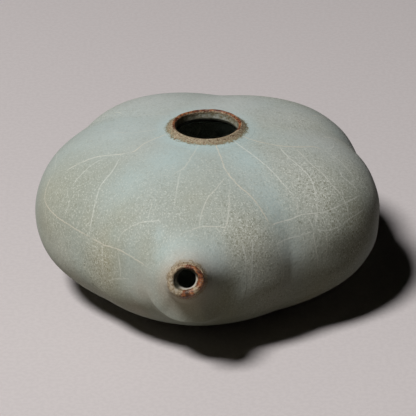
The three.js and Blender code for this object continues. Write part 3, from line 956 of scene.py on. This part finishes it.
def base_disc(material):
    """The glazed underside inside the foot ring, very slightly domed."""
    angles = turns(SMALL_AROUND)
    radius = FOOT_INNER + 0.1
    middle_radius, dome = 0.4, 0.35
    rings = [ring_at(r, angles, FOOT_RECESS + WALL) for r in (middle_radius, radius)]
    for r in np.linspace(radius, middle_radius, 30):
        rings.append(ring_at(r, angles, FOOT_RECESS + dome * (1 - (r / radius) ** 2)))
    layers = glaze_layers(np.array(rings), cracked=False)
    piece = ring_solid("clay_base_disc", rings, closed_loop=False, layers=layers)
    settle(piece, "base_disc", material)


COIL_HALF_HEIGHT = 3.0
COIL_THICKNESS = 1.6
FINGER_MARKS = [(0.35, 24, 0.0), (0.2, 37, 1.0)]


def seam_coil(material):
    """The soft coil pressed into the join inside, with the marks of a fingertip along it."""
    angles = turns(SMALL_AROUND)
    pressed = wavering(angles, FINGER_MARKS)
    rings = []

    def add(share, inset):
        way = float(way_at_height(SEAM_HEIGHT + share * COIL_HALF_HEIGHT))
        rings.append(skin(angles, way, inset))

    for share in np.linspace(-1, 1, 9):
        add(share, WALL - 0.05)
    for share in np.linspace(0.85, -0.85, 9):
        bulge = COIL_THICKNESS * cos(share) + 0.4 * pressed * cos(1.5 * share)
        add(share, WALL + bulge)
    settle(ring_solid("clay_seam_coil", rings[::-1]), "seam_coil", material)


# Materials

class Nodes:
    """A short way to write a material's nodes, to which numbers and other nodes' outputs go in alike."""

    def __init__(self, name):
        self.material = bpy.data.materials.new(name)
        self.material.use_nodes = True
        self.tree = self.material.node_tree
        self.tree.nodes.clear()
        self.output = self.tree.nodes.new("ShaderNodeOutputMaterial")
        self.place = self.add("TexCoord", {}, "Object")

    def add(self, kind, inputs, output=0, **settings):
        """Makes a node, sets or links its inputs, and gives one of its outputs."""
        node = self.tree.nodes.new("ShaderNode" + kind)
        for setting, value in settings.items():
            setattr(node, setting, value)
        for key, value in inputs.items():
            if isinstance(value, bpy.types.NodeSocket):
                self.tree.links.new(value, node.inputs[key])
            else:
                node.inputs[key].default_value = value
        return node.outputs[output]

    def layer(self, name, output="Fac"):
        return self.add("Attribute", {}, output, attribute_name=name)

    def split(self, vector):
        return self.add("SeparateXYZ", {0: vector}).node.outputs

    def math(self, operation, value, *others):
        """A number taken together with the others, one after another."""
        for other in others:
            value = self.add("Math", {0: value, 1: other}, operation=operation)
        return value

    def times(self, *factors):
        return self.math("MULTIPLY", *factors)

    def straying(self, noise, amount):
        """How far a noise strays from its middle, times an amount."""
        return self.times(self.math("SUBTRACT", noise, 0.5), amount)

    def scaled(self, vector, scale):
        return self.add("VectorMath", {0: vector, "Scale": scale}, operation="SCALE")

    def noise(self, scale, detail=2.0, roughness=0.5, output="Fac"):
        inputs = {"Vector": self.place, "Scale": scale, "Detail": detail, "Roughness": roughness}
        return self.add("TexNoise", inputs, output)

    def cell_edges(self, place, scale):
        inputs = {"Vector": place, "Scale": scale}
        return self.add("TexVoronoi", inputs, "Distance", feature="DISTANCE_TO_EDGE")

    def between(self, value, low, high, to_low=0.0, to_high=1.0, curve="SMOOTHSTEP"):
        """Goes from to_low to to_high as a value goes from low to high."""
        inputs = {"Value": value, "From Min": low, "From Max": high, "To Min": to_low, "To Max": to_high}
        return self.add("MapRange", inputs, "Result", interpolation_type=curve)

    def mix(self, share, a, b):
        return self.add("Mix", {"Factor": share, "A": a, "B": b}, "Result", data_type="RGBA")

    def coated(self, colour, *coats):
        """A colour under others, each laid on by its share."""
        for share, coat in coats:
            colour = self.mix(share, colour, coat)
        return colour

    def relief(self, *forms):
        """The normal of fine forms on top of one another, each a height and its depth in metres."""
        under = {}
        for height, depth in forms:
            under = {"Normal": self.add("Bump", {"Height": height, "Distance": depth, **under})}
        return under["Normal"]

    def surface(self, colour, roughness, normal, specular):
        inputs = {"Base Color": colour, "Roughness": roughness, "Normal": normal}
        shader = self.add("BsdfPrincipled", {**inputs, "Specular IOR Level": specular})
        self.tree.links.new(shader, self.output.inputs["Surface"])
        return self.material


def crack_lines(nodes, wander):
    """All the crackle lines together, as one number from 0 to 1."""
    lines = []
    for half in range(CRACK_CHANNELS // 3):
        distances = nodes.split(nodes.layer(f"crack_distance_{half}", "Vector"))
        weights = nodes.split(nodes.layer(f"crack_shown_{half}", "Vector"))
        for distance, weight in zip(distances, weights):
            off_line = nodes.math("ABSOLUTE", nodes.math("ADD", distance, wander), 0.0)
            lines.append(nodes.times(nodes.between(off_line, CRACK_CORE, CRACK_EDGE, 1.0, 0.0), weight))
    return nodes.math("MAXIMUM", *lines)


CELADON = linear(171, 179, 172)
CELADON_WARM = linear(169, 173, 161)
# Thick pooled glaze, also used for painted sheen on the crown and a painted highlight
CELADON_POOL_AND_SHEEN = linear(180, 199, 198)
# Pale glaze, partly painted sheen on the crown
CELADON_PALE = linear(200, 204, 201)
# Pinkish beige, partly painted floor light low at the lower left
CELADON_BLUSH = linear(182, 171, 157)
# Greyer glaze, also used as painted shade at the right edge
CELADON_GREY_AND_SHADE = linear(138, 146, 135)
# Olive stain, also used as partly painted shade at the right edge
OLIVE_STAIN_AND_SHADE = linear(162, 153, 120)
CRACK_WHITE = linear(226, 228, 219)
CRACK_TAN = linear(214, 206, 188)
CRAZE_PALE = linear(216, 218, 208)
CRAZE_DARK = linear(122, 120, 96)
SPECK_DARK = linear(118, 117, 96)
SPECK_PALE = linear(222, 225, 214)
THIN_BEIGE = linear(161, 144, 118)
THIN_OLIVE = linear(134, 128, 100)
THIN_PINK = linear(160, 146, 122)
THIN_BROWN = linear(160, 98, 58)
THIN_RED = linear(112, 54, 30)
THIN_UMBER = linear(112, 90, 66)
THIN_DARK = linear(58, 34, 22)
THIN_CREAM = linear(206, 188, 160)
# Painted shade: the near-black laid inside the mouth, the funnel and the bore, where little light reaches
PAINTED_SHADE_DARK = linear(52, 52, 40)


def celadon(name, specular, fringe):
    """Crackled satin celadon, which burns to beige and then iron brown where it runs thin."""
    nodes = Nodes(name)
    between, layer, math, mix = nodes.between, nodes.layer, nodes.math, nodes.mix
    noise, times = nodes.noise, nodes.times
    broad = noise(28, 3.0, 0.55)
    cloudy = noise(75, 4.0, 0.6)
    mottle = noise(320, 3.0, 0.6)
    blotchy = noise(520, 3.0, 0.6)
    fine = noise(1300, 3.0, 0.65)
    ragged = noise(1700, 3.0, 0.65)
    grain = noise(2300, 2.0, 0.6)
    gritty = noise(2600, 2.0, 0.6)

    pool = times(layer("pool"), between(cloudy, 0.25, 0.62, 0.6, 1.0))
    stain = times(layer("stain"), between(cloudy, 0.35, 0.7, 0.45, 1.0))
    blush = times(layer("blush"), between(mottle, 0.3, 0.65, 0.75, 1.0))
    crazed = times(layer("crazed"), between(cloudy, 0.3, 0.6, 0.5, 1.0))
    # Painted shade inside the mouth, the funnel and the bore
    bare = times(layer("bare"), between(fine, 0.35, 0.65, 0.9, 1.0))

    calm = math("SUBTRACT", 1.0, times(pool, 0.5))
    lively = times(calm, between(crazed, 0.0, 1.0, 0.52, 1.9, "LINEAR"))
    dark_mottle = times(between(mottle, 0.5, 0.72), 0.15, lively)
    dark_speck = times(between(fine, 0.5, 0.68), 0.42, lively)
    pale_speck = times(between(grain, 0.53, 0.66), 0.62, lively)

    stray = {0: noise(500, output="Color"), 1: (0.5, 0.5, 0.5)}
    shove = nodes.scaled(nodes.add("VectorMath", stray, operation="SUBTRACT"), 0.0016)
    flat_metres = nodes.scaled(layer("glaze_map", "Vector"), MM)
    shoved = nodes.add("VectorMath", {0: flat_metres, 1: shove}, operation="ADD")
    cells = nodes.cell_edges(shoved, 1250)
    dark_cell = times(between(cells, 0.12, 0.3), times(crazed, 0.2))
    cell_share = math("ADD", times(crazed, 0.5), 0.08)
    net = times(
        between(nodes.cell_edges(shoved, 380), 0.02, 0.1, 1.0, 0.0),
        between(fine, 0.4, 0.6, 0.1, 0.55),
        between(crazed, 0.0, 0.8, 0.15, 1.0),
    )
    veins = times(
        between(nodes.cell_edges(shoved, 130), 0.004, 0.034, 1.0, 0.0),
        between(mottle, 0.4, 0.6, 0.05, 0.32),
        between(crazed, 0.0, 0.7, 0.3, 1.0),
    )
    fine_craze = times(between(cells, 0.02, 0.17, 1.0, 0.0), cell_share)
    craze = times(math("MAXIMUM", fine_craze, net, veins), calm)
    wander = nodes.straying(noise(600, 3.0), 0.5)
    cracks = times(crack_lines(nodes, wander), between(mottle, 0.34, 0.56, 0.5, 0.95))

    thin = math("ADD", nodes.straying(ragged, 1.7), nodes.straying(blotchy, 0.9), layer("thin"))
    covered = between(layer("thin"), 0.02, 0.15)
    burnt = between(thin, 1.2, 1.75)
    flecked = times(between(thin, 0.35, 1.0, 0.0, 0.85), covered)
    dark_fleck = times(between(ragged, 0.47, 0.6), flecked)
    pale_fleck = times(between(gritty, 0.54, 0.65), flecked, between(burnt, 0.0, 1.0, 0.9, 0.4, "LINEAR"))

    colour = nodes.coated(
        CELADON,
        (between(broad, 0.36, 0.66), CELADON_WARM),
        # greyer glaze, with painted shade at the right edge
        (layer("deep"), CELADON_GREY_AND_SHADE),
        # thick glaze, with painted sheen on the crown and a painted highlight
        (pool, CELADON_POOL_AND_SHEEN),
        # olive stains, one partly painted shade
        (stain, OLIVE_STAIN_AND_SHADE),
        # pinkish beige, partly painted floor light low at the lower left
        (blush, CELADON_BLUSH),
        # paler glaze, partly painted sheen on the crown
        (layer("pale"), CELADON_PALE),
        (times(crazed, 0.3), OLIVE_STAIN_AND_SHADE),
        (dark_mottle, SPECK_DARK),
        (dark_speck, SPECK_DARK),
        (dark_cell, CRAZE_DARK),
        (pale_speck, SPECK_PALE),
        (craze, CRAZE_PALE),
        (cracks, mix(layer("soaked"), CRACK_WHITE, CRACK_TAN)),
        (times(between(thin, 0.08, 0.72), covered), mix(between(thin, 0.55, 0.95), fringe, THIN_BEIGE)),
        (burnt, mix(between(blotchy, 0.44, 0.58), THIN_BROWN, THIN_RED)),
        (between(thin, 1.9, 2.7, 0.0, 0.85), THIN_DARK),
        (dark_fleck, mix(burnt, THIN_UMBER, THIN_DARK)),
        (pale_fleck, THIN_CREAM),
        # painted shade
        (bare, PAINTED_SHADE_DARK),
    )
    rough = math("SUBTRACT", between(cloudy, 0.3, 0.7, 0.56, 0.68), times(burnt, 0.12))
    normal = nodes.relief(
        (noise(60), 0.00030),
        (fine, 0.00007),
        (times(gritty, flecked), 0.00012),
        (math("MAXIMUM", craze, cracks), 0.00002),
    )
    return nodes.surface(colour, rough, normal, specular)


CLAY_BROWN = linear(134, 92, 62)
CLAY_UMBER = linear(108, 66, 42)
CLAY_PALE = linear(170, 140, 110)
CLAY_DARK = linear(62, 40, 28)


def bare_clay():
    """Matt fired clay with pale and dark grit."""
    nodes = Nodes("bare_fired_clay")
    broad = nodes.noise(90, 3.0, 0.6)
    grit = nodes.noise(1600, 3.0, 0.7)
    colour = nodes.coated(
        CLAY_BROWN,
        (nodes.between(broad, 0.35, 0.65), CLAY_UMBER),
        (nodes.between(grit, 0.55, 0.72, 0.0, 0.7), CLAY_PALE),
        (nodes.between(grit, 0.42, 0.3, 0.0, 0.6), CLAY_DARK),
    )
    rough = nodes.between(grit, 0.3, 0.7, 0.68, 0.85)
    return nodes.surface(colour, rough, nodes.relief((grit, 0.00012)), 0.3)


FLOOR_PALE = linear(216, 208, 207)
FLOOR_GRAIN = linear(212, 204, 203)
BOUNCE_NEAR = (0.43, 0.37, 0.25, 1.0)
BOUNCE_FAR = (0.06, 0.053, 0.036, 1.0)


def floor_material():
    """A pale floor to look at, which throws a little warm light back up, more from the front left."""
    nodes = Nodes("pale_floor")
    grain = nodes.between(nodes.noise(900, 3.0), 0.4, 0.6)
    path = nodes.tree.nodes.new("ShaderNodeLightPath").outputs
    rays = [path[f"Is {kind} Ray"] for kind in ("Camera", "Glossy", "Transmission")]
    x, y, _ = nodes.split(nodes.place)
    to_front_left = nodes.math("ADD", nodes.times(x, -0.8), nodes.times(y, -0.6))
    bounce = nodes.mix(nodes.between(to_front_left, 0.02, 0.12), BOUNCE_FAR, BOUNCE_NEAR)
    colour = nodes.mix(nodes.math("MAXIMUM", *rays), bounce, nodes.mix(grain, FLOOR_PALE, FLOOR_GRAIN))
    return nodes.surface(colour, 0.8, nodes.relief((nodes.noise(1500), 0.00002)), 0.2)


# The stage

def make_floor():
    bpy.ops.mesh.primitive_plane_add(size=4.0, location=(0, 0, 0))
    floor = bpy.context.active_object
    floor.name = "pale_floor"
    floor.data.materials.append(floor_material())


def put_up(data, back, place, **settings):
    """Puts a camera or a lamp at a place, with its back turned to a direction."""
    for setting, value in settings.items():
        setattr(data, setting, value)
    stand = bpy.data.objects.new(data.name, data)
    stand.location = place
    stand.rotation_euler = back.to_track_quat("Z", "Y").to_euler()
    bpy.context.scene.collection.objects.link(stand)
    return stand


def make_camera():
    """The camera, at the angle and distance from which the photograph was taken."""
    aim = (AXIS + np.array([AIM_SIDE, 0.0, AIM_HEIGHT])) * MM
    back = np.array([0.0, -cos(CAMERA_ELEVATION), sin(CAMERA_ELEVATION)])
    place = Vector(aim + back * CAMERA_DISTANCE * MM)
    data = bpy.data.cameras.new("camera")
    settings = {"lens": CAMERA_LENS, "sensor_width": 36.0, "clip_start": 0.05, "clip_end": 20.0}
    bpy.context.scene.camera = put_up(data, Vector(back), place, **settings)


def make_light():
    """A large soft round lamp high on the left in front, and a faint warm light from all round."""
    data = bpy.data.lights.new("key", "AREA")
    put_up(data, LAMP_WAY, LAMP_WAY * LAMP_DISTANCE, shape="DISK", size=LAMP_SIZE, energy=LAMP_POWER)
    world = bpy.data.worlds.new("studio")
    bpy.context.scene.world = world
    world.use_nodes = True
    background = world.node_tree.nodes["Background"]
    background.inputs["Color"].default_value = WORLD_COLOUR
    background.inputs["Strength"].default_value = WORLD_STRENGTH


bpy.context.scene.view_settings.view_transform = "Standard"
make_camera()
make_floor()
make_light()

glaze = celadon("crackled_celadon", specular=0.42, fringe=THIN_PINK)
rim_glaze = celadon("iron_brown_rim_glaze", specular=0.4, fringe=THIN_OLIVE)
lip_glaze = celadon("iron_brown_lip_glaze", specular=0.4, fringe=THIN_PINK)
clay = bare_clay()
upper_wall(glaze)
lower_wall(glaze)
mouth_collar(rim_glaze)
spout_cone(glaze)
spout_lip(lip_glaze)
foot_ring(clay)
base_disc(glaze)
seam_coil(clay)
